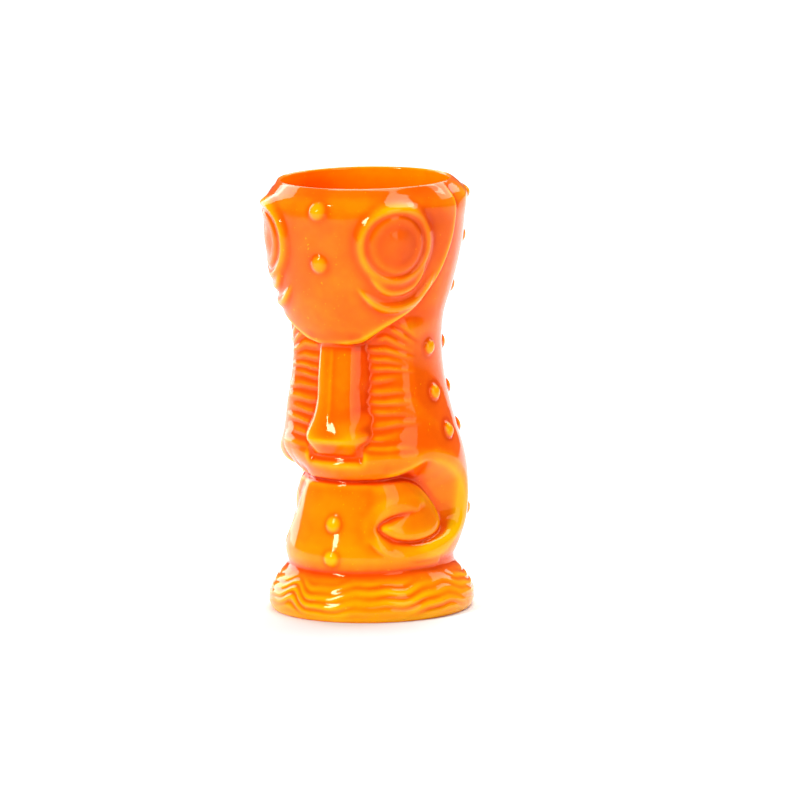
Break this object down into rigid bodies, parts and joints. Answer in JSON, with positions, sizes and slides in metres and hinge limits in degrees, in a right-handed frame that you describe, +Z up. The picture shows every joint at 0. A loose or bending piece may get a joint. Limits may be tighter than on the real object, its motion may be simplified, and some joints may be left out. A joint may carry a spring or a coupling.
{
  "type": "tiki mug",
  "caption": "Tall glazed ceramic mug carved as a stylised tiki face, with a brow mask, long nose, scrolled mouth and flared foot.",
  "frame": {"origin": "middle of the foot, on the table", "axes": "+Z up through the rim; the face looks along -Y; +X is to the right of someone facing it"},
  "size_m": [0.0746, 0.0762, 0.155],
  "materials": {
    "glaze": "glossy",
    "bare_clay": "matte"
  },
  "bodies": {
    "root": {"cup_wall": "glaze", "body_back": "glaze", "mask_plate": "glaze", "brow_ridge": "glaze", "eye_left": "glaze", "eye_right": "glaze", "eye_socket_left": "glaze", "eye_socket_right": "glaze", "eye_folds_left": "glaze", "eye_folds_right": "glaze", "forehead_beads": "glaze", "nose": "glaze", "cheek_left": "glaze", "cheek_right": "glaze", "upper_lip": "glaze", "chin_plate": "glaze", "scroll_left": "glaze", "scroll_right": "glaze", "jaw_left": "glaze", "jaw_right": "glaze", "chin_beads": "glaze", "side_beads_left": "glaze", "side_beads_right": "glaze", "back_beads": "glaze", "plinth": "glaze", "foot_ring": "bare_clay"}
  },
  "joints": []
}
